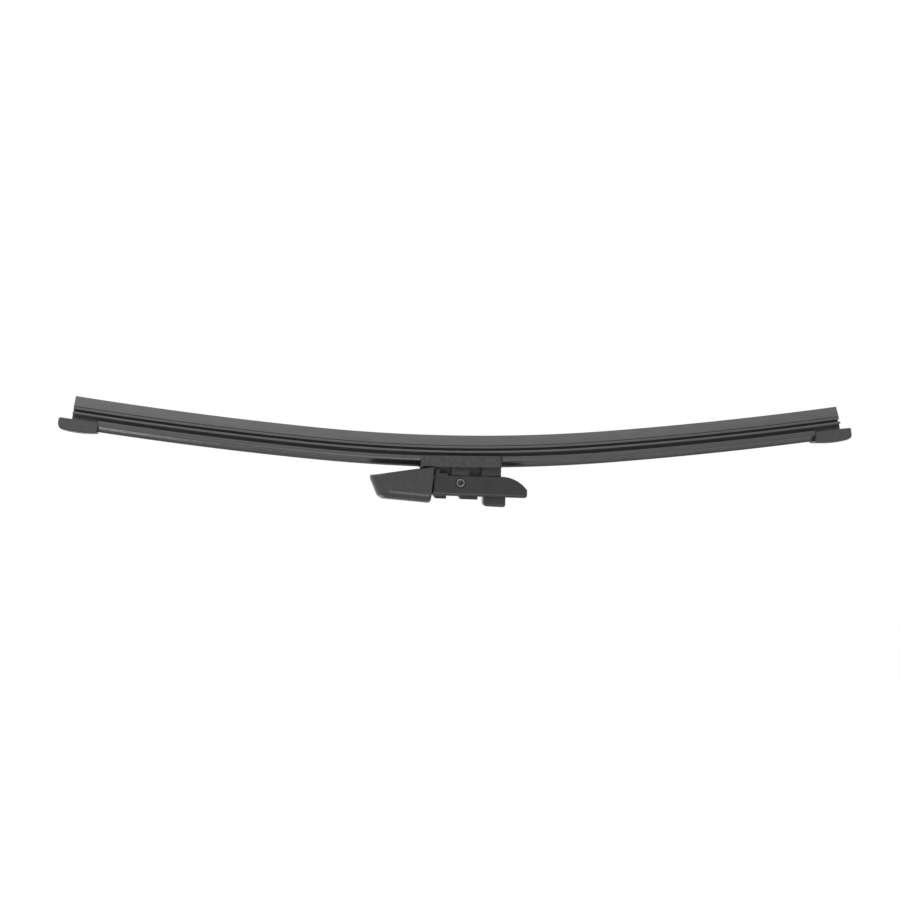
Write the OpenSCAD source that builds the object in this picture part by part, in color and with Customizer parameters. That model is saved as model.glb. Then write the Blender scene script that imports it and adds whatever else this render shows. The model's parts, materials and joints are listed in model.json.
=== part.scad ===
// Flat wiper blade with a pivoting arm adapter, all sizes in millimetres.
// Origin on the pivot axis: X runs along the blade, Y along the pivot,
// and +Z points from the adapter to the wiping lip.
// "Depth" is measured from the wiping lip towards the adapter, "half" is half a width across Y.

/* [Blade] */
// Length of the whole blade over its end caps
overall_length = 329.4; // [300:0.2:400]
// Height of the wiping lip above the pivot axis, at the middle of the blade
lip_above_pivot = 19.6; // [19.4:0.1:20.4]
// How far the middle of the blade lies to the right of the pivot
blade_shift = 0.7; // [0:0.1:2]
// Radius of the lip's free curve in the middle of the blade
mid_radius = 693; // [600:1:900]
// Angle of the middle curve, measured each way from the middle
mid_angle = 5.1; // [4:0.1:6.5]
// Radius of the lip's flatter curve beyond the middle stretch
outer_radius = 1730; // [1300:10:2600]

/* [Rubber] */
// How far the rubber ends inside each end of the blade
rubber_setback = 4.8; // [4:0.1:7]
// How far the rubber lies to the right in its rails
rubber_slip = 0.5; // [0:0.1:0.8]
// Thickness of the wiping edge
lip_edge = 0.6; // [0.5:0.05:0.9]
// Height of the wedge that carries the wiping edge
lip_height = 4.15; // [3.8:0.05:4.6]
// Width of the wedge at its foot
wedge_width = 4.2; // [3.6:0.1:4.8]
// Height of the step between wedge and shoulder
step_height = 0.3; // [0.2:0.05:0.5]
// Width across the shoulders
shoulder_width = 4.9; // [4.5:0.1:5.4]
// Height of the shoulders
shoulder_height = 0.9; // [0.7:0.05:1.1]
// Thickness of the thin web that lets the lip tilt
hinge_width = 1.0; // [0.8:0.1:1.4]
// Height of the tilting gap beside that web
hinge_height = 1.0; // [0.8:0.05:1.2]
// Width of the flange under the tilting gap
flange_width = 6.8; // [6.2:0.1:7.4]
// Height of the flange
flange_height = 0.9; // [0.8:0.05:1.1]
// Width of the neck that runs down to the rails
neck_width = 3.0; // [2.6:0.1:3.2]
// Open height between the flange and the claws
neck_height = 1.5; // [1.2:0.05:1.8]
// Width of the bulb that holds the rubber behind the rails
head_width = 3.6; // [3.2:0.1:4]
// Height of that bulb
head_height = 0.7; // [0.5:0.05:0.8]
// Bevel on the shoulders and flange
rubber_bevel = 0.35; // [0.2:0.05:0.4]

/* [Rails] */
// Width of each spring rail
rail_width = 3.35; // [3:0.05:3.4]
// Thickness of each spring rail
rail_thick = 0.75; // [0.6:0.05:0.8]
// Width of the rubber web between the rails
web_width = 1.5; // [1.3:0.1:1.8]
// How far each rail ends inside the closed end of its cap
rail_setback = 3; // [2.5:0.1:4]

/* [Spoiler] */
// Width across the claws
claw_width = 9.6; // [9.5:0.05:9.9]
// Height of the claws above the rails, on the lip side
claw_lip = 1.2; // [1.1:0.05:1.3]
// Height of the claws' side faces
claw_height = 2.55; // [2.45:0.05:2.7]
// Height of the spoiler from the claws' lip side to its ridge
spoiler_height = 4.46; // [4.3:0.02:4.6]
// Width of the ridge
ridge_width = 2.6; // [2:0.1:3]
// Height of the ridge's upright sides
ridge_side = 0.65; // [0.4:0.05:0.9]
// Radius of the hollow flanks between claws and ridge
flank_radius = 3; // [2.8:0.1:5]
// Radius of the claws' rounded feet
claw_round = 1.3; // [0.9:0.05:1.35]
// Bevel on the claws' and the ridge's edges
claw_bevel = 0.25; // [0.15:0.05:0.35]

/* [End caps] */
// Length of each cap's side faces
cap_length = 15.9; // [14:0.1:20]
// Width of each cap
cap_width = 10.8; // [10.4:0.1:11.6]
// Thickness of the cap's wall above the rails
cap_lip = 0.5; // [0.4:0.05:0.7]
// Height of each cap at its deepest place
cap_height = 5.35; // [5:0.05:5.6]
// Length of the ledge that reaches under the spoiler's ridge
cap_ledge = 0.4; // [0.2:0.1:1.5]
// Radius of the cap's curved underside
cap_belly_radius = 42; // [30:1:80]
// Radius of the cap's long rounded edges
cap_edge_radius = 1.9; // [1.4:0.1:2.2]
// Radius of the cap's outer lower corner, seen from the side
cap_corner_radius = 3.3; // [2:0.1:3.4]
// Radius of the cap's outer upper corner, seen from the side
cap_top_radius = 1.1; // [0.6:0.1:1.5]
// Radius of the cap's outer corners, seen from above
cap_end_radius = 2.2; // [1.4:0.1:2.6]

/* [Connector base] */
// Length of the base along the blade
base_length = 33.8; // [33:0.2:36]
// How far the middle of the base lies to the right of the pivot
base_shift = 0.2; // [0:0.1:0.6]
// Width of the base
base_width = 10.4; // [10:0.1:11.2]
// How far the base stands above the claws, towards the lip
base_rise = 0.3; // [0.1:0.05:0.5]
// Height of the base's underside above the pivot axis
base_floor = 6.45; // [6.4:0.05:6.6]
// Bevel at the base's right end
base_chamfer = 0.8; // [0.4:0.1:1.2]
// Width of the boss that turns on the rivet
boss_width = 5.8; // [5:0.1:5.8]
// Length of the boss along the blade
boss_length = 7.7; // [7:0.1:8]
// Thickness of the web that joins boss and post
rib_width = 2; // [1.6:0.1:3]
// Length of the guide post at the right end
post_length = 8.2; // [7.6:0.1:8.4]
// Height of the post's lower end above the pivot axis
post_end = 1.9; // [1.8:0.1:2.4]
// Height of the sliding pads beside the post
pad_height = 1.4; // [1:0.1:1.8]
// Length of the long sliding pads
pad_length = 5; // [4:0.1:5.6]

/* [Arm adapter] */
// Width of the adapter over its side walls
adapter_width = 9.4; // [9.2:0.1:10]
// Thickness of the side walls
wall = 1.5; // [1.3:0.05:1.55]
// Thickness of the roof that lies under the arm
roof = 1.2; // [1:0.05:1.3]
// Distance from the pivot to the adapter's left edge
adapter_left = 11.5; // [11:0.1:11.6]
// Distance from the pivot to the adapter's tip
adapter_right = 27.9; // [26.5:0.1:30]
// Height of the side walls above the pivot axis, over the pivot
side_top = 3.1; // [2.6:0.05:3.2]
// Lean of the adapter's left edge, from bottom to top
end_lean = 1.3; // [0:0.1:1.6]
// Length of the upright tabs at the left end
tab_length = 1.3; // [1.1:0.05:1.9]
// Gap between those tabs and the base
tab_gap = 0.65; // [0.6:0.05:1]
// Length of the step beside the tabs
step_length = 3.4; // [3.2:0.05:3.7]
// Height of that step
step_rise = 0.8; // [0.6:0.05:1.1]
// Distance from the pivot axis to the roof's outer face
roof_drop = 5.5; // [5.2:0.05:5.8]
// Lean of the adapter's body, down towards the tip
body_lean = 1.2; // [0:0.1:1.5]
// Radius of the tip's curved top edge
tip_radius = 13.5; // [10:0.5:14]
// Depth at which that edge ends, below a line through the pivot that leans with the body
tip_drop = 2.3; // [1.6:0.1:3]
// Radius of the tip's corners, seen from above
tip_corner = 1.8; // [1:0.1:2.2]
// Radius of the tip's lower corner, seen from the side
tip_heel = 1.5; // [0.8:0.1:1.8]
// Radius of the long rounded edges of the roof
roof_edge_radius = 1.3; // [0.8:0.1:1.4]
// Radius of the rounded top edges of the side walls, which run down round the tip
top_edge_radius = 0.8; // [0.4:0.1:1]
// Height of the guide pad and ribs on the roof
rib_height = 1.2; // [0.8:0.05:1.4]
// Length of the guide pad at the left end
guide_pad_length = 5.2; // [4:0.1:5.5]
// Length of the guide ribs beside the tongue
guide_rib_length = 7.6; // [6:0.1:8]

/* [Rivet] */
// Diameter of the rivet's shank
rivet_d = 3.2; // [2.8:0.1:3.4]
// Diameter of the blind bore in its front end
rivet_bore = 1.7; // [1.5:0.1:2]
// Depth of that bore
rivet_bore_depth = 3.2; // [2:0.1:4]
// Diameter of the rivet's heads
rivet_head_d = 4.1; // [3.9:0.05:4.2]
// Diameter of the recess around each head
recess_d = 4.5; // [4.4:0.05:5]
// Depth of that recess
recess_depth = 0.9; // [0.7:0.05:1]
// How far the heads lie below the adapter's sides
rivet_sink = 0.2; // [0.1:0.05:0.4]

/* [Nose cover] */
// Width of the nose cover
nose_width = 13.2; // [12.6:0.1:14]
// Length of the nose cover along its rim
nose_length = 25.0; // [24.5:0.1:30]
// Gap between the nose cover and the adapter's left edge
nose_gap = 0.7; // [0.5:0.1:1.2]
// Lean of the cover's open end, from bottom to top
nose_lean = 0.9; // [0:0.1:1.1]
// Height of the rim above the pivot axis at the bow
rim_left = 2.9; // [2:0.1:3.4]
// Height of the rim above the pivot axis at the open end
rim_right = 6.4; // [6:0.05:6.5]
// Depth of the cover below the pivot axis at the bow
keel_left = 6.9; // [6.2:0.1:7.2]
// Depth of the cover below the pivot axis at the open end
keel_right = 8.35; // [7.6:0.05:9]
// Wall thickness of the nose cover
nose_wall = 1.5; // [1.2:0.1:1.6]
// Radius of the bow, seen from above
nose_bow_radius = 5.8; // [4.5:0.1:6]
// Radius of the cover's long rounded edges
nose_edge_radius = 3.8; // [3:0.1:4.2]
// Radius of the lower corner at the open end
nose_end_radius = 1.3; // [0.6:0.1:1.6]
// Width of the neck that the cover clips on
neck_seat_width = 6.8; // [6:0.1:7.4]
// Length of that neck
neck_seat_length = 13.1; // [12:0.1:13.5]
// Depth of the neck's floor below the pivot axis
neck_seat_floor = 4.4; // [4:0.1:4.4]
// Height of the neck's side walls above the pivot axis
neck_seat_top = 3.1; // [2.6:0.1:3.4]
// Thickness of the neck's walls
neck_seat_wall = 1.1; // [0.8:0.1:1.3]
// How far the neck's barbs stand out
barb = 0.35; // [0.2:0.05:0.5]

/* [Lock button] */
// Length of the button
button_length = 9.25; // [8:0.05:9.4]
// Distance from the pivot to the button's left face
button_start = 9.55; // [9.4:0.05:10]
// How far the button stands out of the roof
button_height = 3.9; // [3.4:0.1:4.2]
// Width of the spring tongue that carries the button
tongue_width = 3.8; // [3:0.1:4.4]
// Distance from the pivot to the root of the tongue
tongue_root = 1.6; // [1.2:0.1:2]
// Radius of the button's left lower corner
button_radius = 1.6; // [0.8:0.1:1.9]
// Radius of the button's other rounded edges
button_edge_radius = 1; // [0.4:0.1:1.2]
// How much lower the button's right end lies than its left end
button_drop = 0.3; // [0:0.05:0.5]
// Wall thickness of the button
button_wall = 1.2; // [0.8:0.1:1.4]

/* [Clearances] */
// Gap between pieces that seat in each other
seat_gap = 0.05; // [0.03:0.01:0.1]
// Gap around pieces that move
free_gap = 0.35; // [0.3:0.05:0.4]

/* [Hidden] */
$fn = 48;
curve_steps = 1440;
over = 1;

// Depths of the section, from the wiping edge towards the adapter
shoulder_at = lip_height + step_height;
hinge_at = shoulder_at + shoulder_height;
flange_at = hinge_at + hinge_height;
neck_at = flange_at + flange_height;
claw_at = neck_at + neck_height;
rail_at = claw_at + claw_lip;
rail_end_at = rail_at + rail_thick;
head_end_at = rail_end_at + seat_gap + head_height;
claw_end_at = claw_at + claw_height;
tip_at = claw_at + spoiler_height;
cap_at = rail_at - cap_lip;
cap_end_at = cap_at + cap_height;

// Distances of the section from its middle plane
slot_half = neck_width / 2 + free_gap;
rail_in = web_width / 2 + seat_gap;
rail_out = rail_in + rail_width;

// Free curve of the blade: a middle arc that runs on into a flatter one at each side
mid_reach = mid_angle * PI / 180 * mid_radius;
curve_top = lip_above_pivot + mid_radius;
outer_x = (mid_radius - outer_radius) * sin(mid_angle);
outer_z = curve_top + (outer_radius - mid_radius) * cos(mid_angle);

// Angle of the curve at a distance along the lip, and the lip's place there
function angle_at(s) = s <= mid_reach ? s / mid_radius * 180 / PI
                                      : mid_angle + (s - mid_reach) / outer_radius * 180 / PI;
function lip_x(s) = s <= mid_reach ? mid_radius * sin(angle_at(s))
                                   : outer_x + outer_radius * sin(angle_at(s));
function lip_z(s) = s <= mid_reach ? curve_top - mid_radius * cos(angle_at(s))
                                   : outer_z - outer_radius * cos(angle_at(s));

// Points along a circular arc
function arc(centre, r, a0, a1, n = 6) =
    [for (i = [0:n]) let (a = a0 + (a1 - a0) * i / n) [centre[0] + r * cos(a), centre[1] + r * sin(a)]];

// Closes a half outline by its mirror image across the middle plane
function both_sides(pts) = concat([for (p = pts) [p[0], -p[1]]], [for (i = [len(pts) - 1:-1:0]) pts[i]]);

// Centre of the circle of radius r through p and q, on the left of the way from p to q
function circle_centre(p, q, r) =
    let (d = q - p, half = norm(d) / 2, n = [-d[1], d[0]] / norm(d))
        (p + q) / 2 + n * sqrt(r * r - half * half);

// Stations along the lip, from the middle of the blade
end_angle = asin((overall_length / 2 - outer_x) / (outer_radius + cap_end_at - cap_corner_radius));
end_station = mid_reach + (end_angle - mid_angle) * PI / 180 * outer_radius;
cap_station = end_station - cap_length;
rubber_left_end = end_station - rubber_setback - rubber_slip;
rubber_right_end = end_station - rubber_setback + rubber_slip;
rail_end = end_station - rail_setback;
spoiler_end = cap_station - 2 * seat_gap;
base_left = base_shift - base_length / 2;
base_right = base_shift + base_length / 2;
base_top = lip_above_pivot - claw_at + base_rise;
button_end = button_start + button_length;
nose_right = -adapter_left - nose_gap;
neck_left = -adapter_left - neck_seat_length;
barb_length = 1.2;
barb_at = 0.5;

// Height of the roof's outer face at a place along the adapter
function roof_at(x) = -roof_drop - x * tan(body_lean);

// Moves children by whole millimetres first and by the small rest after that,
// so that stretches swung about far centres still meet exactly
module place(v, steps = 3) {
    whole = steps == 1 ? v : [for (c = v) steps == 3 ? round(c) : round(c * 1e5) / 1e5];
    translate(whole)
        if (steps > 1)
            place(v - whole, steps - 1)
                children();
        else
            children();
}

// One stretch of the curve: a profile of depth against width, swung about the arc's centre
module stretch(radius, centre_x, centre_z, from, to)
    place([centre_x, 0, centre_z])
        rotate([90, 90, 0])
            rotate_extrude(angle = to - from, start = from, $fn = curve_steps)
                translate([radius, 0])
                    children();

// A profile carried along the lip from one station to another, on the right half of the blade
module right_stretches(from, to) {
    if (from < mid_reach)
        stretch(mid_radius, 0, curve_top, angle_at(from), angle_at(min(to, mid_reach)))
            children();
    if (to > mid_reach)
        stretch(outer_radius, outer_x, outer_z, angle_at(max(from, mid_reach)), angle_at(to))
            children();
}

// A profile carried along the lip from the blade's left end to its right end
module whole_length(left_reach, right_reach)
    translate([blade_shift, 0, 0]) {
        stretch(mid_radius, 0, curve_top, -mid_angle, mid_angle)
            children();
        stretch(outer_radius, outer_x, outer_z, mid_angle, angle_at(right_reach))
            children();
        mirror([1, 0, 0])
            stretch(outer_radius, outer_x, outer_z, mid_angle, angle_at(left_reach))
                children();
    }

// Puts children at a station of the right half: +X along the lip, z = 0 on the wiping edge
module at_station(s)
    translate([lip_x(s), 0, lip_z(s)])
        rotate([0, -angle_at(s), 0])
            children();

// Draws children on the right half of the blade, or mirrored on its left half
module blade_side(left)
    translate([blade_shift, 0, 0])
        mirror([left ? 1 : 0, 0, 0])
            children();

// Room for the rails, the rubber's head and its neck, inside whatever grips them
module core_pocket() {
    translate([rail_at - seat_gap, -rail_out - seat_gap])
        square([rail_thick + 2 * seat_gap, 2 * (rail_out + seat_gap)]);
    translate([rail_at, -head_width / 2 - seat_gap])
        square([head_end_at + seat_gap - rail_at, head_width + 2 * seat_gap]);
    translate([flange_at, -slot_half])
        square([rail_at + rail_thick / 2 - flange_at, 2 * slot_half]);
}

module wiper_rubber() {
    waist = wedge_width / 2 - rubber_bevel;
    half_outline = [
        [0, lip_edge / 2],
        [lip_height, wedge_width / 2],
        [lip_height, waist],
        [shoulder_at, waist],
        [shoulder_at, shoulder_width / 2 - rubber_bevel],
        [shoulder_at + rubber_bevel, shoulder_width / 2],
        [hinge_at, shoulder_width / 2],
        [hinge_at, hinge_width / 2],
        [flange_at, hinge_width / 2],
        [flange_at, flange_width / 2 - rubber_bevel],
        [flange_at + rubber_bevel, flange_width / 2],
        [neck_at, flange_width / 2],
        [neck_at, neck_width / 2],
        [rail_at - seat_gap, neck_width / 2],
        [rail_at - seat_gap, web_width / 2],
        [rail_end_at + seat_gap, web_width / 2],
        [rail_end_at + seat_gap, head_width / 2],
        [head_end_at, head_width / 2]
    ];
    color([0.13, 0.13, 0.14])
        whole_length(rubber_left_end, rubber_right_end)
            polygon(both_sides(half_outline));
}

// One of the two flat steel springs that give the blade its curve
module spring_rail(side)
    color([0.45, 0.46, 0.48])
        whole_length(rail_end, rail_end)
            translate([rail_at, side > 0 ? rail_in : -rail_out])
                square([rail_thick, rail_width]);

module spring_rail_front() spring_rail(1);
module spring_rail_rear() spring_rail(-1);

// Claws that grip the rails, hollow flanks and the middle ridge
module spoiler_section() {
    claw_half = claw_width / 2;
    ridge_half = ridge_width / 2;
    foot = [claw_end_at - claw_round, claw_half - claw_round];
    flank_start = [claw_end_at, foot[1]];
    flank_end = [tip_at - ridge_side, ridge_half];
    hollow = circle_centre(flank_start, flank_end, flank_radius);
    half_outline = [
        [claw_at, claw_half - claw_bevel],
        [claw_at + claw_bevel, claw_half],
        [foot[0], claw_half],
        flank_start,
        flank_end,
        [tip_at - claw_bevel, ridge_half],
        [tip_at, ridge_half - claw_bevel]
    ];
    difference() {
        union() {
            polygon(both_sides(half_outline));
            for (side = [-1, 1])
                translate([foot[0], side * foot[1]])
                    circle(claw_round);
        }
        for (side = [-1, 1])
            translate([hollow[0], side * hollow[1]])
                circle(flank_radius);
        core_pocket();
    }
}

module spoiler(left)
    color([0.12, 0.12, 0.13])
        blade_side(left)
            right_stretches((left ? blade_shift - base_left : base_right - blade_shift) + 2 * seat_gap, spoiler_end)
                spoiler_section();

module spoiler_left() spoiler(true);
module spoiler_right() spoiler(false);

// Side view of the cap: x from its open face, y is minus the depth.
// Its outer lower corner runs on into the curve of the belly.
module cap_side() {
    centre_x = cap_length - cap_corner_radius;
    belly = cap_belly_radius - cap_corner_radius;
    belly_turn = asin((centre_x - cap_length / 2) / belly);
    centre_y = cap_belly_radius - cap_end_at - belly * cos(belly_turn);
    below = -cap_end_at - over;
    polygon(concat(
        [[-cap_ledge, below],
         [-cap_ledge, -tip_at - 2 * seat_gap],
         [0, -tip_at - 2 * seat_gap],
         [0, -cap_at]],
        arc([cap_length - cap_top_radius, -cap_at - cap_top_radius], cap_top_radius, 90, 0),
        arc([centre_x, centre_y], cap_corner_radius, 0, belly_turn - 90, 10),
        [[centre_x, below]]));
}

// Section of the cap with its long rounded edges: depth against width
module cap_section() {
    half = cap_width / 2;
    edge_depth = cap_end_at - cap_edge_radius;
    translate([cap_at - 2 * over, -half])
        square([edge_depth - cap_at + 2 * over, cap_width]);
    translate([cap_at - over, -half + cap_edge_radius])
        square([cap_height + over, cap_width - 2 * cap_edge_radius]);
    for (side = [-1, 1])
        translate([edge_depth, side * (half - cap_edge_radius)])
            circle(cap_edge_radius);
}

// Plan of the cap with its rounded outer corners
module cap_plan() {
    half = cap_width / 2;
    translate([-cap_ledge - over, -half])
        square([cap_length + cap_ledge + over - cap_end_radius, cap_width]);
    translate([0, -half + cap_end_radius])
        square([cap_length, cap_width - 2 * cap_end_radius]);
    for (side = [-1, 1])
        translate([cap_length - cap_end_radius, side * (half - cap_end_radius)])
            circle(cap_end_radius);
}

module end_cap(left) {
    belly_half = asin((cap_length / 2 + cap_ledge + over) / cap_belly_radius);
    rubber_stop = (left ? rubber_left_end : rubber_right_end) + 4 * seat_gap;
    color([0.14, 0.14, 0.15])
        blade_side(left)
            difference() {
                at_station(cap_station)
                    intersection() {
                        rotate([90, 0, 0])
                            linear_extrude(cap_width + over, center = true)
                                cap_side();
                        stretch(cap_belly_radius - cap_end_at, cap_length / 2, cap_belly_radius - cap_end_at,
                                -belly_half, belly_half)
                            cap_section();
                        translate([0, 0, -cap_end_at - over])
                            linear_extrude(cap_height + 3 * over)
                                cap_plan();
                    }
                right_stretches(cap_station - over, rail_end + 4 * seat_gap)
                    translate([rail_at - seat_gap, -rail_out - seat_gap])
                        square([rail_thick + 2 * seat_gap, 2 * (rail_out + seat_gap)]);
                right_stretches(cap_station - over, rubber_stop)
                    core_pocket();
            }
}

module end_cap_left() end_cap(true);
module end_cap_right() end_cap(false);

// Side view of the base that grips the rails: x along the blade, y up
module base_side() {
    lip_length = 0.95;
    lip_floor = base_floor - 0.2;
    notch_end = nose_right + nose_lean + free_gap;
    notch_floor = rim_right + free_gap;
    polygon([
        [base_left, lip_floor],
        [base_left + lip_length, lip_floor],
        [base_left + lip_length, notch_floor],
        [notch_end, notch_floor],
        [notch_end, base_floor],
        [base_right, base_floor],
        [base_right, base_top],
        [base_left, base_top]
    ]);
}

// Plan of the base, bevelled at its right end
module base_plan() {
    half = base_width / 2;
    polygon([
        [base_left, -half],
        [base_right - base_chamfer, -half],
        [base_right, -half + base_chamfer],
        [base_right, half - base_chamfer],
        [base_right - base_chamfer, half],
        [base_left, half]
    ]);
}

// Boss, web and guide post that reach down between the adapter's walls
module base_foot() {
    web_setback = 0.15;
    post_setback = 0.15;
    post_inset = 0.3;
    key_length = 1.2;
    post_right = base_right - post_setback;
    post_left = post_right - post_length;
    reach = base_floor - post_end + over / 2;
    translate([-boss_length / 2, -boss_width / 2, 0])
        cube([boss_length, boss_width, base_floor + over / 2]);
    rotate([90, 0, 0])
        cylinder(h = boss_width, d = boss_length, center = true);
    translate([base_left + web_setback, -rib_width / 2, post_end])
        cube([post_right - base_left - web_setback, rib_width, reach]);
    translate([post_left, -boss_width / 2 + post_inset, post_end])
        cube([post_length, boss_width - 2 * post_inset, reach]);
    translate([post_right - pad_length - post_setback, -boss_width / 2, post_end + over])
        cube([pad_length, boss_width, pad_height]);
    translate([post_left, -boss_width / 2, post_end])
        cube([key_length, boss_width, base_floor - post_end - over]);
}

module connector_base() {
    pocket_angle = angle_at(base_length / 2 + 4 * over);
    color([0.15, 0.15, 0.16])
        difference() {
            union() {
                intersection() {
                    rotate([90, 0, 0])
                        linear_extrude(base_width, center = true)
                            base_side();
                    linear_extrude(base_top + over)
                        base_plan();
                }
                base_foot();
            }
            rotate([90, 0, 0])
                cylinder(h = boss_width + 2 * over, d = rivet_d + 2 * seat_gap, center = true);
            translate([blade_shift, 0, 0])
                stretch(mid_radius, 0, curve_top, -pocket_angle, pocket_angle)
                    core_pocket();
        }
}

// Half section of a rivet head, which sits on y = 0: a rolled rim, filled up in its middle or not
module rivet_head(head_r, height, roll, filled)
    intersection() {
        square([head_r, height]);
        union() {
            square([head_r, height - roll]);
            translate([head_r - roll, height - roll])
                circle(roll);
            if (filled)
                square([head_r - roll, height]);
        }
    }

// Rivet with a plain head at the back, and a rolled rim round a blind bore at the front
module pivot_rivet() {
    face = adapter_width / 2 - rivet_sink;
    seat = adapter_width / 2 - recess_depth;
    head_r = rivet_head_d / 2;
    bore_r = rivet_bore / 2;
    roll = (head_r - bore_r) / 2;
    lap = (face - seat - roll) / 2;
    color([0.3, 0.3, 0.31])
        rotate([90, 0, 0])
            rotate_extrude()
                difference() {
                    union() {
                        translate([0, -seat - lap])
                            square([rivet_d / 2, 2 * (seat + lap)]);
                        translate([0, seat])
                            rivet_head(head_r, face - seat, roll, false);
                        translate([0, -seat])
                            mirror([0, 1])
                                rivet_head(head_r, face - seat, roll, true);
                    }
                    translate([-over, face - rivet_bore_depth])
                        square([over + bore_r, rivet_bore_depth + over]);
                }
}

// A point of the adapter's side view, turned about the pivot by the body's lean
function leaned(p) = [p[0] * cos(body_lean) + p[1] * sin(body_lean),
                      p[1] * cos(body_lean) - p[0] * sin(body_lean)];

// Where the straight top of the adapter's walls runs on into the tip's curve
function tip_start() =
    let (drop = tip_radius - side_top - tip_drop)
        adapter_right - sqrt(tip_radius * tip_radius - drop * drop);

// Side view of the adapter: x along the blade, y up
module adapter_side() {
    tab_left = -adapter_left + end_lean;
    tab_right = tab_left + tab_length;
    step_right = tab_right + step_length;
    tip_turn = asin((tip_radius - side_top - tip_drop) / tip_radius);
    heel = [adapter_right - tip_heel, tip_heel - roof_drop];
    polygon(concat(
        [[-adapter_left, roof_at(-adapter_left)],
         [tab_left, base_floor - tab_gap],
         [tab_right, base_floor - tab_gap],
         [tab_right, side_top + step_rise],
         [step_right, side_top + step_rise],
         [step_right, side_top - step_right * tan(body_lean)]],
        [for (p = arc([tip_start(), side_top - tip_radius], tip_radius, 90, tip_turn, 14)) leaned(p)],
        [for (p = arc(heel, tip_heel, 0, -90)) leaned(p)]));
}

// Section of the adapter with its long rounded edges: width against height over the roof
module adapter_section() {
    half = adapter_width / 2;
    translate([-half, roof_edge_radius])
        square([adapter_width, roof_drop + base_floor + over]);
    translate([-half + roof_edge_radius, 0])
        square([adapter_width - 2 * roof_edge_radius, roof_edge_radius + over]);
    for (side = [-1, 1])
        translate([side * (half - roof_edge_radius), roof_edge_radius])
            circle(roof_edge_radius);
}

// Section through the adapter's rounded top edges: height from y = 0 up to reach against width
module top_section(reach) {
    half = adapter_width / 2;
    translate([0, -half])
        square([reach - top_edge_radius, adapter_width]);
    translate([0, top_edge_radius - half])
        square([reach, adapter_width - 2 * top_edge_radius]);
    for (side = [-1, 1])
        translate([reach - top_edge_radius, side * (half - top_edge_radius)])
            circle(top_edge_radius);
}

// The adapter's walls with their top edges rounded, and the plain room of the tabs above them
module adapter_top() {
    left = -adapter_left - over;
    step_right = end_lean - adapter_left + tab_length + step_length;
    rotate([0, body_lean, 0])
        translate([tip_start(), 0, side_top - tip_radius]) {
            rotate([90, 0, 0])
                rotate_extrude()
                    top_section(tip_radius);
            rotate([0, -90, 0])
                linear_extrude(tip_start() - left)
                    top_section(tip_radius);
        }
    translate([left, -adapter_width / 2, 0])
        cube([step_right - left, adapter_width, base_floor]);
}

// Plan of the adapter with the rounded corners of its tip
module adapter_plan() {
    half = adapter_width / 2;
    translate([-adapter_left - over, -half])
        square([adapter_left + adapter_right + over - tip_corner, adapter_width]);
    translate([0, -half + tip_corner])
        square([adapter_right, adapter_width - 2 * tip_corner]);
    for (side = [-1, 1])
        translate([adapter_right - tip_corner, side * (half - tip_corner)])
            circle(tip_corner);
}

// Room between the side walls for the base's boss and post
module channel() {
    left = -adapter_left + wall;
    right = adapter_right - tip_corner;
    rotate([90, 0, 0])
        linear_extrude(adapter_width - 2 * wall, center = true)
            polygon([
                [left, roof_at(left) + roof],
                [right, roof_at(right) + roof],
                [right, base_floor + over],
                [left, base_floor + over]
            ]);
}

// Rib on the roof with a sloped left end, from x0 to x1 and from y0 to y1
module roof_rib(x0, x1, y0, y1) {
    lead = 0.8;
    bevel = 0.3;
    root = 0.1;
    rotate([90, 0, 0])
        translate([0, 0, -y1])
            linear_extrude(y1 - y0)
                polygon([
                    [x0, roof_at(x0) + roof / 2],
                    [x0, roof_at(x0) - root],
                    [x0 + lead, roof_at(x0) - rib_height],
                    [x1 - bevel, roof_at(x1) - rib_height],
                    [x1, roof_at(x1) - rib_height + bevel],
                    [x1, roof_at(x1) + roof / 2]
                ]);
}

// Guide pad at the left end and a pair of guide ribs beside the tongue
module roof_ribs() {
    pad_left = -adapter_left + 0.5;
    pad_half = 2.8;
    rib_left = tongue_root - 2;
    rib_in = tongue_width / 2 + 0.6;
    rib_out = adapter_width / 2 - roof_edge_radius - 0.1;
    roof_rib(pad_left, pad_left + guide_pad_length, -pad_half, pad_half);
    roof_rib(rib_left, rib_left + guide_rib_length, rib_in, rib_out);
    roof_rib(rib_left, rib_left + guide_rib_length, -rib_out, -rib_in);
}

// Trough at the adapter's left end, with barbs that hold the nose cover
module front_neck() {
    half = neck_seat_width / 2;
    barb_height = 3;
    translate([neck_left, -half, -neck_seat_floor])
        cube([neck_seat_length + over, neck_seat_width, neck_seat_top + neck_seat_floor]);
    translate([neck_left + barb_at, -half - barb, -barb_height / 2])
        cube([barb_length, neck_seat_width + 2 * barb, barb_height]);
}

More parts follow.
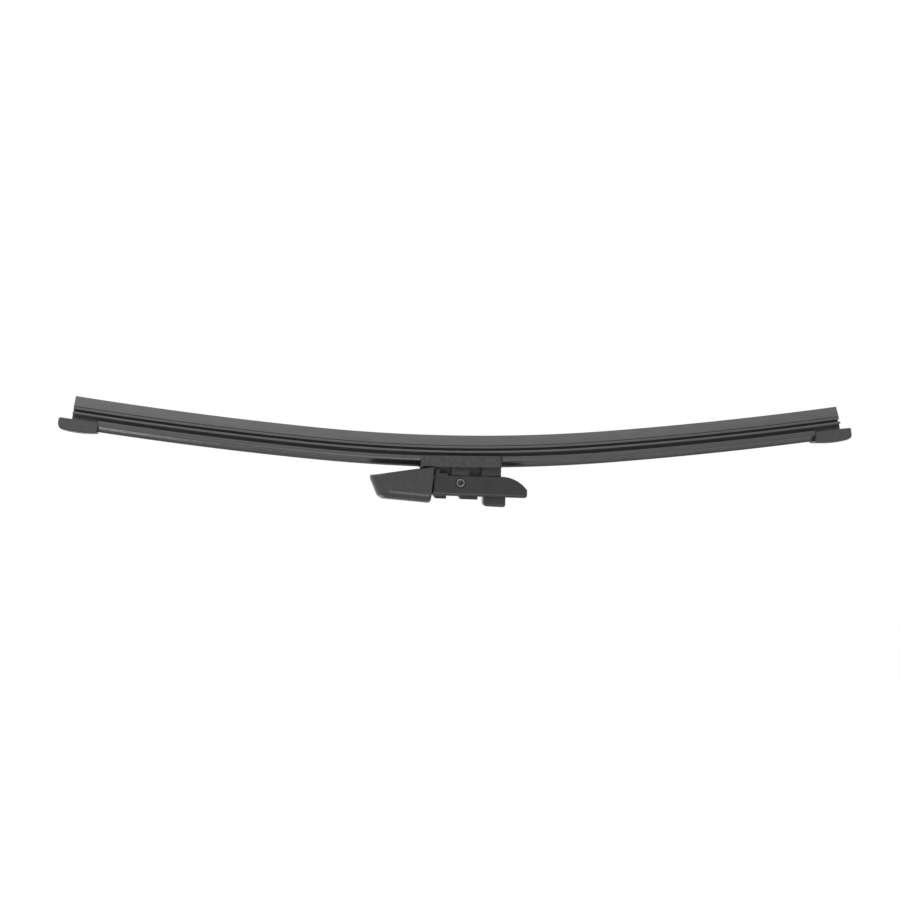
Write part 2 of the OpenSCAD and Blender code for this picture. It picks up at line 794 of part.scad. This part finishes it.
module adapter_body() {
    swing_room = 0.3;
    opening_width = adapter_width - 2 * wall;
    trough_floor = neck_seat_wall - neck_seat_floor;
    color([0.1, 0.1, 0.11])
        difference() {
            union() {
                intersection() {
                    rotate([90, 0, 0])
                        linear_extrude(adapter_width, center = true)
                            adapter_side();
                    rotate([0, body_lean, 0])
                        translate([-adapter_left - 2 * over, 0, -roof_drop])
                            rotate([90, 0, 90])
                                linear_extrude(adapter_left + adapter_right + 4 * over)
                                    adapter_section();
                    adapter_top();
                    translate([0, 0, -2 * roof_drop])
                        linear_extrude(2 * roof_drop + base_floor + over)
                            adapter_plan();
                }
                front_neck();
                roof_ribs();
            }
            channel();
            translate([neck_left + neck_seat_wall, 0, trough_floor])
                linear_extrude(4 * roof_drop)
                    translate([0, -neck_seat_width / 2 + neck_seat_wall])
                        square([neck_seat_length + over, neck_seat_width - 2 * neck_seat_wall]);
            // Window for the button and slot for its tongue
            translate([button_start - free_gap, -opening_width / 2, -2 * roof_drop])
                cube([button_length + 2 * free_gap + swing_room, opening_width, 2 * roof_drop]);
            translate([tongue_root, -tongue_width / 2 - free_gap, -2 * roof_drop])
                cube([button_start - tongue_root, tongue_width + 2 * free_gap, 2 * roof_drop]);
            translate([tongue_root, 0, roof_at(tongue_root) + roof / 2])
                rotate([90, 0, 0])
                    cylinder(h = tongue_width + 2 * free_gap, d = roof + 2 * seat_gap, center = true);
            // Bore and head recesses of the rivet
            rotate([90, 0, 0])
                cylinder(h = adapter_width + 2 * over, d = rivet_d + 2 * seat_gap, center = true);
            for (side = [-1, 1])
                translate([0, side * (adapter_width + over - recess_depth) / 2, 0])
                    rotate([90, 0, 0])
                        cylinder(h = recess_depth + over, d = recess_d, center = true);
        }
}

// Outside or inside form of the nose cover: inset is taken off every wall,
// lift and reach carry the inside out past the rim and the open end
module nose_form(inset, lift, reach) {
    left = nose_right - nose_length + inset;
    half = nose_width / 2 - inset;
    bow = nose_bow_radius - inset;
    edge = nose_edge_radius - inset;
    rim_height = 1.4;
    bow_rake = 2.2;
    corner = nose_end_radius;
    thin = 0.01;
    hull() {
        // Upper rim of the bow
        for (side = [-1, 1])
            translate([left + bow, side * (half - bow), rim_left - rim_height])
                cylinder(h = rim_height + lift, r = bow, $fn = 48);
        // Rounded underside of the bow
        for (side = [-1, 1])
            translate([left + bow_rake + bow, side * (half - bow), inset - keel_left + edge])
                rotate_extrude($fn = 48)
                    translate([bow - edge, 0])
                        intersection() {
                            circle(edge, $fn = 32);
                            translate([0, -edge])
                                square([edge, 2 * edge]);
                        }
        // Open right end with its rounded lower corner
        for (side = [-1, 1], a = [0, 30, 60, 90])
            translate([
                nose_right - thin + corner * (sin(a) - 1) + (a == 90 ? reach : 0),
                side * (half - edge),
                inset - keel_right + edge + corner * (1 - cos(a))
            ])
                rotate([0, 90, 0])
                    cylinder(h = thin, r = edge, $fn = 32);
        translate([nose_right - thin + nose_lean + reach, -half, rim_right + lift - thin])
            cube([thin, 2 * half, thin]);
    }
}

module nose_cover() {
    rib_thick = 1;
    rib_setback = 3.9;
    rib_places = [neck_left + barb_at + barb_length + free_gap, nose_right - rib_setback];
    neck_room = neck_seat_width + 2 * seat_gap;
    color([0.17, 0.17, 0.18])
        difference() {
            nose_form(0, 0, 0);
            difference() {
                nose_form(nose_wall, 2 * over, over);
                for (x = rib_places)
                    translate([x, -nose_width / 2, -2 * keel_right])
                        cube([rib_thick, nose_width, 2 * keel_right + post_end - free_gap]);
            }
            translate([neck_left - free_gap, -neck_room / 2, -neck_seat_floor - seat_gap])
                cube([neck_seat_length, neck_room, 4 * roof_drop]);
        }
}

module lock_button() {
    top = roof_at(button_start) + roof;
    low = roof_at(button_start) - button_height;
    half = adapter_width / 2 - wall - free_gap;
    edge = button_edge_radius;
    heel = button_start + button_radius;
    tongue_end = button_start + over;
    color([0.11, 0.11, 0.12])
        difference() {
            union() {
                intersection() {
                    rotate([90, 0, 0])
                        linear_extrude(2 * half, center = true)
                            polygon(concat(
                                [[button_start, top]],
                                arc([heel, low + button_radius], button_radius, 180, 270),
                                arc([button_end - edge, low - button_drop + edge], edge, 270, 360),
                                [[button_end, top]]));
                    translate([button_start - over, 0, low - button_drop])
                        rotate([90, 0, 90])
                            linear_extrude(button_length + 2 * over)
                                polygon(concat(
                                    arc([half - edge, edge], edge, -90, 0),
                                    [[half, 2 * roof_drop], [-half, 2 * roof_drop]],
                                    arc([edge - half, edge], edge, 180, 270)));
                }
                // Spring tongue with its rounded root
                rotate([90, 0, 0])
                    linear_extrude(tongue_width, center = true)
                        polygon([
                            [tongue_root, roof_at(tongue_root)],
                            [tongue_end, roof_at(tongue_end)],
                            [tongue_end, roof_at(tongue_end) + roof],
                            [tongue_root, roof_at(tongue_root) + roof]
                        ]);
                translate([tongue_root, 0, roof_at(tongue_root) + roof / 2])
                    rotate([90, 0, 0])
                        cylinder(h = tongue_width, d = roof, center = true);
            }
            translate([button_start + button_wall, button_wall - half, low + button_wall])
                cube([button_length - 2 * button_wall, 2 * (half - button_wall), button_height + roof]);
        }
}

wiper_rubber();
spring_rail_front();
spring_rail_rear();
spoiler_left();
spoiler_right();
end_cap_left();
end_cap_right();
connector_base();
pivot_rivet();
adapter_body();
nose_cover();
lock_button();
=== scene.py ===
"""Looks of a flat wiper blade: camera, studio, materials and finished surfaces round the fixed frame."""
import json
import math

import bmesh
import bpy
from mathutils import Matrix, Vector


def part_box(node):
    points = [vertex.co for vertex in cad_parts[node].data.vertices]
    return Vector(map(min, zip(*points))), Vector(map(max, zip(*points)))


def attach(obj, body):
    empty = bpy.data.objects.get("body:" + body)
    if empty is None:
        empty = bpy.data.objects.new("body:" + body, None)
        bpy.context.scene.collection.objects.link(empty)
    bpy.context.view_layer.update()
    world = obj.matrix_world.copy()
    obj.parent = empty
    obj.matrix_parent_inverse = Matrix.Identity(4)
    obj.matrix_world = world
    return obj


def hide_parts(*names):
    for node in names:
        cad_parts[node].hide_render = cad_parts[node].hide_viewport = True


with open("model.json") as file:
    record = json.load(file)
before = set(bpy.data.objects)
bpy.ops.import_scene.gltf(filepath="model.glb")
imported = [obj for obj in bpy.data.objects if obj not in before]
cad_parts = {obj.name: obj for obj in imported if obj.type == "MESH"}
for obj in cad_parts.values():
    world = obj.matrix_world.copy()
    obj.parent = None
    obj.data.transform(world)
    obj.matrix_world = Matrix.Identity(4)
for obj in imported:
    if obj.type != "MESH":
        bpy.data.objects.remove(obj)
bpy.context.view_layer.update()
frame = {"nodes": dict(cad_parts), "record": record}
MM = 0.001

# Camera: where the photograph was taken from, in millimetres and degrees
CAMERA_AT = (-95.4, -849.5, 12.44)
CAMERA_YAW = 6.131
CAMERA_ROLL = 0.686
CAMERA_LENS = 82.61
SENSOR_WIDTH = 36.0

# Free curve of the blade, in millimetres and degrees, as the construction has it
LIP_ABOVE_PIVOT = 19.6
BLADE_SHIFT = 0.7
MID_RADIUS = 693.0
MID_ANGLE = 5.1
OUTER_RADIUS = 1730.0
STATION_STEP = 2.0

# Section of the rubber: depths below the lip and widths, in millimetres
LIP_EDGE = 0.6
LIP_HEIGHT = 4.15
WEDGE_WIDTH = 4.2
STEP_HEIGHT = 0.3
SHOULDER_WIDTH = 4.9
SHOULDER_HEIGHT = 0.9
HINGE_WIDTH = 1.0
HINGE_HEIGHT = 1.0
FLANGE_WIDTH = 6.8
FLANGE_HEIGHT = 0.9
NECK_WIDTH = 3.0
NECK_HEIGHT = 1.5
HEAD_WIDTH = 3.6
HEAD_HEIGHT = 0.7
RUBBER_BEVEL = 0.35
LIP_ROUND = 0.05
EDGE_ROUND = 0.08
NECK_ROUND = 0.2
HEAD_ROUND = 0.1

# Section of the rails and the spoiler
RAIL_THICK = 0.75
RAIL_WIDTH = 3.35
RAIL_ROUND = 0.1
WEB_WIDTH = 1.5
CLAW_WIDTH = 9.6
CLAW_LIP = 1.2
CLAW_HEIGHT = 2.55
CLAW_ROUND = 1.3
CLAW_BEVEL = 0.25
SPOILER_HEIGHT = 4.46
RIDGE_WIDTH = 2.6
RIDGE_SIDE = 0.65
FLANK_RADIUS = 3.0
SEAT_GAP = 0.05
FREE_GAP = 0.35
SPOILER_LAP = 0.3

# Depths that follow from them
SHOULDER_AT = LIP_HEIGHT + STEP_HEIGHT
HINGE_AT = SHOULDER_AT + SHOULDER_HEIGHT
FLANGE_AT = HINGE_AT + HINGE_HEIGHT
NECK_AT = FLANGE_AT + FLANGE_HEIGHT
CLAW_AT = NECK_AT + NECK_HEIGHT
RAIL_AT = CLAW_AT + CLAW_LIP
RAIL_END_AT = RAIL_AT + RAIL_THICK
HEAD_END_AT = RAIL_END_AT + SEAT_GAP + HEAD_HEIGHT
CLAW_END_AT = CLAW_AT + CLAW_HEIGHT
TIP_AT = CLAW_AT + SPOILER_HEIGHT
MID_REACH = math.radians(MID_ANGLE) * MID_RADIUS

# Search along the lip: how far it looks each way, in millimetres, and how often it halves the stretch
SEARCH_REACH = 200.0
SEARCH_HALVINGS = 50

# Finish of the edges: angles in degrees, lengths in millimetres
SMOOTH_ANGLE = 35
SHARP_ANGLE = 28
FLAT_ANGLE = 0.5
WELD_GAP = 0.002
CAP_EDGE = 0.35
THIN_EDGE = 0.15
COVER_EDGE = 0.2
RIVET_EDGE = 0.08


def lip_place(distance):
    """Place of the lip, in millimetres, and the curve's angle at a distance from the blade's middle."""
    side = 1 if distance >= 0 else -1
    reach = abs(distance)
    mid = math.radians(MID_ANGLE)
    top = LIP_ABOVE_PIVOT + MID_RADIUS
    if reach <= MID_REACH:
        turn = reach / MID_RADIUS
        x, z = MID_RADIUS * math.sin(turn), top - MID_RADIUS * math.cos(turn)
    else:
        turn = mid + (reach - MID_REACH) / OUTER_RADIUS
        centre_x = (MID_RADIUS - OUTER_RADIUS) * math.sin(mid)
        centre_z = top + (OUTER_RADIUS - MID_RADIUS) * math.cos(mid)
        x, z = centre_x + OUTER_RADIUS * math.sin(turn), centre_z - OUTER_RADIUS * math.cos(turn)
    return BLADE_SHIFT + side * x, z, side * turn


def station_of(x, depth):
    """Distance along the lip at which a point at that depth has the given x, in millimetres."""
    low, high = -SEARCH_REACH, SEARCH_REACH
    for _ in range(SEARCH_HALVINGS):
        middle = (low + high) / 2
        at, _, turn = lip_place(middle)
        if at + depth * math.sin(turn) < x:
            low = middle
        else:
            high = middle
    return (low + high) / 2


def fillet(corners, steps=3):
    """Outline of (x, y, radius) corners with each corner rounded by its radius."""
    outline = []
    count = len(corners)
    for i, (x, y, r) in enumerate(corners):
        here = Vector((x, y))
        if r <= 0:
            outline.append(here)
            continue
        to_last = (Vector(corners[i - 1][:2]) - here).normalized()
        to_next = (Vector(corners[(i + 1) % count][:2]) - here).normalized()
        half = to_last.angle(to_next) / 2
        reach = r / math.tan(half)
        centre = here + (to_last + to_next).normalized() * (r / math.sin(half))
        first = here + to_last * reach - centre
        last = here + to_next * reach - centre
        sweep = first.angle_signed(last)
        for k in range(steps + 1):
            outline.append(centre + Matrix.Rotation(-sweep * k / steps, 2) @ first)
    return outline


def mirrored(half_outline):
    """Closes a half section of (depth, half width, radius) corners by its mirror image."""
    return half_outline + [(d, -w, r) for d, w, r in reversed(half_outline)]


def loft(name, corners, first, last):
    """A section carried along the lip from one station to another, as a closed mesh in metres."""
    outline = fillet(corners)
    count = max(2, round((last - first) / STATION_STEP))
    mesh = bpy.data.meshes.new(name)
    piece = bpy.data.objects.new(name, mesh)
    bpy.context.scene.collection.objects.link(piece)
    bm = bmesh.new()
    rings = []
    for k in range(count + 1):
        x, z, turn = lip_place(first + (last - first) * k / count)
        down = Vector((math.sin(turn), 0, -math.cos(turn)))
        ring = [bm.verts.new((Vector((x, w, z)) + down * d) * MM) for d, w in outline]
        rings.append(ring)
    for a, b in zip(rings, rings[1:]):
        for i in range(len(outline)):
            j = (i + 1) % len(outline)
            bm.faces.new((a[i], a[j], b[j], b[i]))
    bm.faces.new(rings[0])
    bm.faces.new(list(reversed(rings[-1])))
    bmesh.ops.recalc_face_normals(bm, faces=bm.faces)
    bm.to_mesh(mesh)
    bm.free()
    smooth(piece)
    return piece


def smooth(piece):
    """Smooth shading that keeps the sharper edges."""
    piece.data.shade_smooth()
    piece.data.set_sharp_from_angle(angle=math.radians(SMOOTH_ANGLE))


def dressed(node, width, segments=2):
    """A copy of a frame node with its sharp outer edges rounded; its inner edges stay sharp."""
    mesh = frame["nodes"][node].data.copy()
    piece = bpy.data.objects.new(node + "_finish", mesh)
    bpy.context.scene.collection.objects.link(piece)
    bm = bmesh.new()
    bm.from_mesh(mesh)
    bmesh.ops.remove_doubles(bm, verts=bm.verts, dist=WELD_GAP * MM)
    flat = math.radians(FLAT_ANGLE)
    bmesh.ops.dissolve_limit(bm, angle_limit=flat, verts=bm.verts, edges=bm.edges)
    rounding = bm.edges.layers.float.new("bevel_weight_edge")
    for edge in bm.edges:
        if edge.is_manifold and edge.is_convex and edge.calc_face_angle() > math.radians(SHARP_ANGLE):
            edge[rounding] = 1.0
    bm.to_mesh(mesh)
    bm.free()
    bevel = piece.modifiers.new("edges", "BEVEL")
    bevel.width = width * MM
    bevel.segments = segments
    bevel.limit_method = "WEIGHT"
    bevel.use_clamp_overlap = True
    smooth(piece)
    weights = piece.modifiers.new("shading", "WEIGHTED_NORMAL")
    weights.keep_sharp = True
    return piece


def finish(piece, node, material):
    """Puts a finished piece in the place of its frame node and on the node's body, with the given material.
    """
    piece.data.materials.clear()
    piece.data.materials.append(material)
    body = next(b for b, nodes in frame["record"]["behaviour"]["bodies"].items() if node in nodes)
    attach(piece, body)
    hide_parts(node)


# Materials
ROUGHNESS_SPREAD = 0.06


def surface(name, color, roughness, grain, depth, stretch=(1, 1, 1), blotch=0.12, patch=6, specular=0.5):
    """Plastic, rubber or coated steel: a fine grain in the bump and the gloss, and soft blotches of colour.
    Grain is the grain's size, depth its height and patch the size of the blotches, in millimetres.
    Blotch is how far they depart from the colour, and stretch draws all of it out along the blade."""
    material = bpy.data.materials.new(name)
    material.use_nodes = True
    tree = material.node_tree
    nodes, links = tree.nodes, tree.links
    shader = nodes["Principled BSDF"]
    shader.inputs["Specular IOR Level"].default_value = specular
    place = nodes.new("ShaderNodeTexCoord")
    mapping = nodes.new("ShaderNodeMapping")
    mapping.inputs["Scale"].default_value = stretch
    links.new(place.outputs["Object"], mapping.inputs["Vector"])
    fine = nodes.new("ShaderNodeTexNoise")
    fine.inputs["Scale"].default_value = 1 / (grain * MM)
    fine.inputs["Detail"].default_value = 4
    fine.inputs["Roughness"].default_value = 0.6
    links.new(mapping.outputs["Vector"], fine.inputs["Vector"])
    wide = nodes.new("ShaderNodeTexNoise")
    wide.inputs["Scale"].default_value = 1 / (patch * MM)
    wide.inputs["Detail"].default_value = 3
    links.new(mapping.outputs["Vector"], wide.inputs["Vector"])
    tint = nodes.new("ShaderNodeMix")
    tint.data_type = "RGBA"
    tint.inputs["A"].default_value = (*[c * (1 - blotch) for c in color], 1)
    tint.inputs["B"].default_value = (*[c * (1 + blotch) for c in color], 1)
    spread = nodes.new("ShaderNodeMapRange")
    spread.inputs["From Min"].default_value = 0.3
    spread.inputs["From Max"].default_value = 0.7
    links.new(wide.outputs["Fac"], spread.inputs["Value"])
    links.new(spread.outputs["Result"], tint.inputs["Factor"])
    links.new(tint.outputs["Result"], shader.inputs["Base Color"])
    rough = nodes.new("ShaderNodeMapRange")
    rough.inputs["To Min"].default_value = roughness - ROUGHNESS_SPREAD
    rough.inputs["To Max"].default_value = roughness + ROUGHNESS_SPREAD
    links.new(fine.outputs["Fac"], rough.inputs["Value"])
    links.new(rough.outputs["Result"], shader.inputs["Roughness"])
    bump = nodes.new("ShaderNodeBump")
    bump.inputs["Strength"].default_value = 1.0
    bump.inputs["Distance"].default_value = depth * MM
    links.new(fine.outputs["Fac"], bump.inputs["Height"])
    links.new(bump.outputs["Normal"], shader.inputs["Normal"])
    return material


ALONG = (0.06, 1, 1)
STREAKS = (0.22, 1, 1)
rubber = surface("rubber", (0.09, 0.09, 0.092), roughness=0.6, grain=0.35, depth=0.02,
                 stretch=STREAKS, blotch=0.09, patch=1.6, specular=0.42)
spoiler_black = surface("spoiler_plastic", (0.07, 0.07, 0.072), roughness=0.28, grain=0.4, depth=0.005,
                        stretch=ALONG, blotch=0.1)
rail_steel = surface("rail_steel", (0.2, 0.205, 0.215), roughness=0.35, grain=0.2, depth=0.004,
                     stretch=ALONG, blotch=0.1)
cap_black = surface("cap_plastic", (0.05, 0.05, 0.052), roughness=0.36, grain=0.3, depth=0.008,
                    blotch=0.14, patch=3)
base_black = surface("base_plastic", (0.043, 0.043, 0.045), roughness=0.5, grain=0.45, depth=0.05,
                     blotch=0.42, patch=1.1, specular=0.4)
adapter_black = surface("adapter_plastic", (0.021, 0.021, 0.023), roughness=0.26, grain=0.3, depth=0.004,
                        blotch=0.2, patch=3.5, specular=0.42)
nose_black = surface("nose_plastic", (0.046, 0.046, 0.048), roughness=0.29, grain=0.35, depth=0.008,
                     blotch=0.16, patch=2.2, specular=0.38)
rivet_black = surface("rivet_steel", (0.11, 0.11, 0.112), roughness=0.38, grain=0.2, depth=0.01)
rivet_black.node_tree.nodes["Principled BSDF"].inputs["Metallic"].default_value = 0.6

# Rubber and the strips that run along the blade
waist = WEDGE_WIDTH / 2 - RUBBER_BEVEL
rubber_section = mirrored([
    (0, LIP_EDGE / 2, LIP_ROUND),
    (LIP_HEIGHT, WEDGE_WIDTH / 2, EDGE_ROUND),
    (LIP_HEIGHT, waist, 0),
    (SHOULDER_AT, waist, 0),
    (SHOULDER_AT, SHOULDER_WIDTH / 2, RUBBER_BEVEL),
    (HINGE_AT, SHOULDER_WIDTH / 2, EDGE_ROUND),
    (HINGE_AT, HINGE_WIDTH / 2, 0),
    (FLANGE_AT, HINGE_WIDTH / 2, 0),
    (FLANGE_AT, FLANGE_WIDTH / 2, RUBBER_BEVEL),
    (NECK_AT, FLANGE_WIDTH / 2, EDGE_ROUND),
    (NECK_AT, NECK_WIDTH / 2, NECK_ROUND),
    (RAIL_AT - SEAT_GAP, NECK_WIDTH / 2, 0),
    (RAIL_AT - SEAT_GAP, WEB_WIDTH / 2, 0),
    (RAIL_END_AT + SEAT_GAP, WEB_WIDTH / 2, 0),
    (RAIL_END_AT + SEAT_GAP, HEAD_WIDTH / 2, 0),
    (HEAD_END_AT, HEAD_WIDTH / 2, HEAD_ROUND),
])


def strip(node, corners, depths, material, laps=(0, 0)):
    """Lofts a section over the stretch that its frame node takes. Depths say where each end reaches
    furthest, left end first, and laps how far it runs on into its neighbour there."""
    low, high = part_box(node)
    first = station_of(low.x / MM, depths[0]) - laps[0]
    last = station_of(high.x / MM, depths[1]) + laps[1]
    finish(loft(node + "_strip", corners, first, last), node, material)


strip("wiper_rubber", rubber_section, (HEAD_END_AT, HEAD_END_AT), rubber)
for node, side in (("spring_rail_front", 1), ("spring_rail_rear", -1)):
    inner = side * (WEB_WIDTH / 2 + SEAT_GAP)
    outer = side * (WEB_WIDTH / 2 + SEAT_GAP + RAIL_WIDTH)
    rail_section = [
        (RAIL_AT, inner, RAIL_ROUND),
        (RAIL_END_AT, inner, RAIL_ROUND),
        (RAIL_END_AT, outer, RAIL_ROUND),
        (RAIL_AT, outer, RAIL_ROUND),
    ]
    strip(node, rail_section, (RAIL_END_AT, RAIL_END_AT), rail_steel)


def arc_between(start, end, radius, side, count):
    """Points on the arc from start to end, without start.
    With side 1 it swells to the left of the way, and with -1 to the right."""
    half = (end - start).length / 2
    along = (end - start).normalized()
    centre = (start + end) / 2 - Vector((-along.y, along.x)) * side * math.sqrt(radius ** 2 - half ** 2)
    first = start - centre
    sweep = first.angle_signed(end - centre)
    return [centre + Matrix.Rotation(-sweep * k / count, 2) @ first for k in range(1, count + 1)]


slot_half = NECK_WIDTH / 2 + FREE_GAP
rail_out = WEB_WIDTH / 2 + RAIL_WIDTH + 2 * SEAT_GAP
head_half = HEAD_WIDTH / 2 + SEAT_GAP
claw_half = CLAW_WIDTH / 2
ridge_half = RIDGE_WIDTH / 2
foot_start = Vector((CLAW_END_AT - CLAW_ROUND, claw_half))
foot_end = Vector((CLAW_END_AT, claw_half - CLAW_ROUND))
flank_end = Vector((TIP_AT - RIDGE_SIDE, ridge_half))
flank = arc_between(foot_start, foot_end, CLAW_ROUND, side=1, count=7)
flank += arc_between(foot_end, flank_end, FLANK_RADIUS, side=-1, count=8)
spoiler_section = mirrored(
    [(CLAW_AT, slot_half, 0), (CLAW_AT, claw_half, CLAW_BEVEL), (*foot_start, 0)]
    + [(*point, 0) for point in flank]
    + [(TIP_AT, ridge_half, CLAW_BEVEL)])
channel = [
    (RAIL_AT - SEAT_GAP, slot_half),
    (RAIL_AT - SEAT_GAP, rail_out),
    (RAIL_END_AT + SEAT_GAP, rail_out),
    (RAIL_END_AT + SEAT_GAP, head_half),
    (HEAD_END_AT + SEAT_GAP, head_half),
]
spoiler_section += [(depth, -half_width, 0) for depth, half_width in channel]
spoiler_section += [(depth, half_width, 0) for depth, half_width in reversed(channel)]
strip("spoiler_left", spoiler_section, (TIP_AT, CLAW_AT), spoiler_black, laps=(0, SPOILER_LAP))
strip("spoiler_right", spoiler_section, (CLAW_AT, TIP_AT), spoiler_black, laps=(SPOILER_LAP, 0))

# Moulded pieces
finish(dressed("end_cap_left", CAP_EDGE, segments=3), "end_cap_left", cap_black)
finish(dressed("end_cap_right", CAP_EDGE, segments=3), "end_cap_right", cap_black)
finish(dressed("connector_base", THIN_EDGE), "connector_base", base_black)
finish(dressed("adapter_body", THIN_EDGE), "adapter_body", adapter_black)
finish(dressed("nose_cover", COVER_EDGE), "nose_cover", nose_black)
finish(dressed("lock_button", COVER_EDGE), "lock_button", adapter_black)
finish(dressed("pivot_rivet", RIVET_EDGE), "pivot_rivet", rivet_black)


# Stage: pale floor, white surround and soft studio light, with places and sizes in metres
FLOOR_DROP = 0.35
FLOOR_HALF = 3.0
floor_mesh = bpy.data.meshes.new("floor")
floor = bpy.data.objects.new("floor", floor_mesh)
bpy.context.scene.collection.objects.link(floor)
floor_mesh.from_pydata(
    [(x * FLOOR_HALF, y * FLOOR_HALF, -FLOOR_DROP) for x, y in ((-1, -1), (1, -1), (1, 1), (-1, 1))],
    [], [(0, 1, 2, 3)])


def ramp(tree, value, low, high, start, end):
    """A strength that changes smoothly from start to end while the value goes from low to high."""
    node = tree.nodes.new("ShaderNodeMapRange")
    node.interpolation_type = "SMOOTHSTEP"
    for socket, number in (("From Min", low), ("From Max", high), ("To Min", start), ("To Max", end)):
        node.inputs[socket].default_value = number
    tree.links.new(value, node.inputs["Value"])
    return node.outputs["Result"]


def backdrop_seen(tree):
    """1 for camera rays and for rays by way of gloss or glass, and 0 for the rest."""
    path = tree.nodes.new("ShaderNodeLightPath")
    bounced = tree.nodes.new("ShaderNodeMath")
    bounced.operation = "MAXIMUM"
    tree.links.new(path.outputs["Is Glossy Ray"], bounced.inputs[0])
    tree.links.new(path.outputs["Is Transmission Ray"], bounced.inputs[1])
    either = tree.nodes.new("ShaderNodeMath")
    either.operation = "MAXIMUM"
    tree.links.new(path.outputs["Is Camera Ray"], either.inputs[0])
    tree.links.new(bounced.outputs[0], either.inputs[1])
    return either.outputs[0]


def floor_paper(name, pale, shade, glow):
    """Pale paper: a glow brings it to white for the camera and in reflections, and it keeps shadows.
    To the diffuse light that goes back to the object it is a darker shade, without the glow."""
    material = bpy.data.materials.new(name)
    material.use_nodes = True
    tree = material.node_tree
    nodes, links = tree.nodes, tree.links
    nodes.clear()
    seen = nodes.new("ShaderNodeBsdfDiffuse")
    seen.inputs["Color"].default_value = (pale, pale, pale, 1)
    light = nodes.new("ShaderNodeEmission")
    light.inputs["Strength"].default_value = glow
    both = nodes.new("ShaderNodeAddShader")
    links.new(seen.outputs[0], both.inputs[0])
    links.new(light.outputs[0], both.inputs[1])
    sent = nodes.new("ShaderNodeBsdfDiffuse")
    sent.inputs["Color"].default_value = (shade, shade, shade, 1)
    mix = nodes.new("ShaderNodeMixShader")
    links.new(backdrop_seen(tree), mix.inputs["Fac"])
    links.new(sent.outputs[0], mix.inputs[1])
    links.new(both.outputs[0], mix.inputs[2])
    output = nodes.new("ShaderNodeOutputMaterial")
    links.new(mix.outputs[0], output.inputs["Surface"])
    return material


floor_mesh.materials.append(floor_paper("floor_paper", pale=0.5, shade=0.1, glow=0.67))


def studio_world(behind, above, base):
    """White to the camera and in reflections; for diffuse light a pale wall behind the object, a pale
    ceiling and a dim room on the other sides."""
    world = bpy.data.worlds.new("studio")
    world.use_nodes = True
    tree = world.node_tree
    nodes, links = tree.nodes, tree.links
    nodes.clear()
    place = nodes.new("ShaderNodeTexCoord")
    split = nodes.new("ShaderNodeSeparateXYZ")
    links.new(place.outputs["Generated"], split.inputs[0])
    wall = ramp(tree, split.outputs["Y"], low=0.1, high=0.8, start=base, end=behind)
    ceiling = ramp(tree, split.outputs["Z"], low=0.0, high=0.9, start=0.0, end=above)
    total = nodes.new("ShaderNodeMath")
    total.operation = "ADD"
    links.new(wall, total.inputs[0])
    links.new(ceiling, total.inputs[1])
    room = nodes.new("ShaderNodeBackground")
    room.inputs["Color"].default_value = (1, 1, 1, 1)
    links.new(total.outputs[0], room.inputs["Strength"])
    white = nodes.new("ShaderNodeBackground")
    white.inputs["Color"].default_value = (1, 1, 1, 1)
    mix = nodes.new("ShaderNodeMixShader")
    links.new(backdrop_seen(tree), mix.inputs["Fac"])
    links.new(room.outputs[0], mix.inputs[1])
    links.new(white.outputs[0], mix.inputs[2])
    output = nodes.new("ShaderNodeOutputWorld")
    links.new(mix.outputs[0], output.inputs["Surface"])
    return world


bpy.context.scene.world = studio_world(behind=0.9, above=0.5, base=0.12)


def soft_box(name, at, size, power, toward=(0, 0, 0)):
    """Square area lamp that points at a place on the blade, with its power in watts."""
    lamp = bpy.data.lights.new(name, "AREA")
    lamp.size = size
    lamp.energy = power
    holder = bpy.data.objects.new(name, lamp)
    bpy.context.scene.collection.objects.link(holder)
    holder.location = at
    holder.rotation_euler = (Vector(toward) - Vector(at)).to_track_quat("-Z", "Y").to_euler()
    holder.visible_camera = False


soft_box("key", (-0.5, -0.8, 0.9), size=0.7, power=13)
soft_box("low_front", (0.0, -0.62, -0.26), size=0.16, power=0.6)
soft_box("low_left", (-0.21, 0.2, -0.26), size=0.1, power=0.2, toward=(-0.14, 0, 0.02))
soft_box("back", (0.6, 1.0, 0.9), size=0.8, power=8)

camera_data = bpy.data.cameras.new("camera")
camera_data.sensor_width = SENSOR_WIDTH
camera_data.lens = CAMERA_LENS
camera_data.clip_end = 20
camera = bpy.data.objects.new("camera", camera_data)
bpy.context.scene.collection.objects.link(camera)
camera.matrix_world = (
    Matrix.Translation(Vector(CAMERA_AT) * MM)
    @ Matrix.Rotation(math.radians(-CAMERA_ROLL), 4, "Y")
    @ Matrix.Rotation(math.radians(-CAMERA_YAW), 4, "Z")
    @ Matrix.Rotation(math.radians(90), 4, "X")
)
bpy.context.scene.camera = camera
bpy.context.scene.view_settings.view_transform = "Standard"
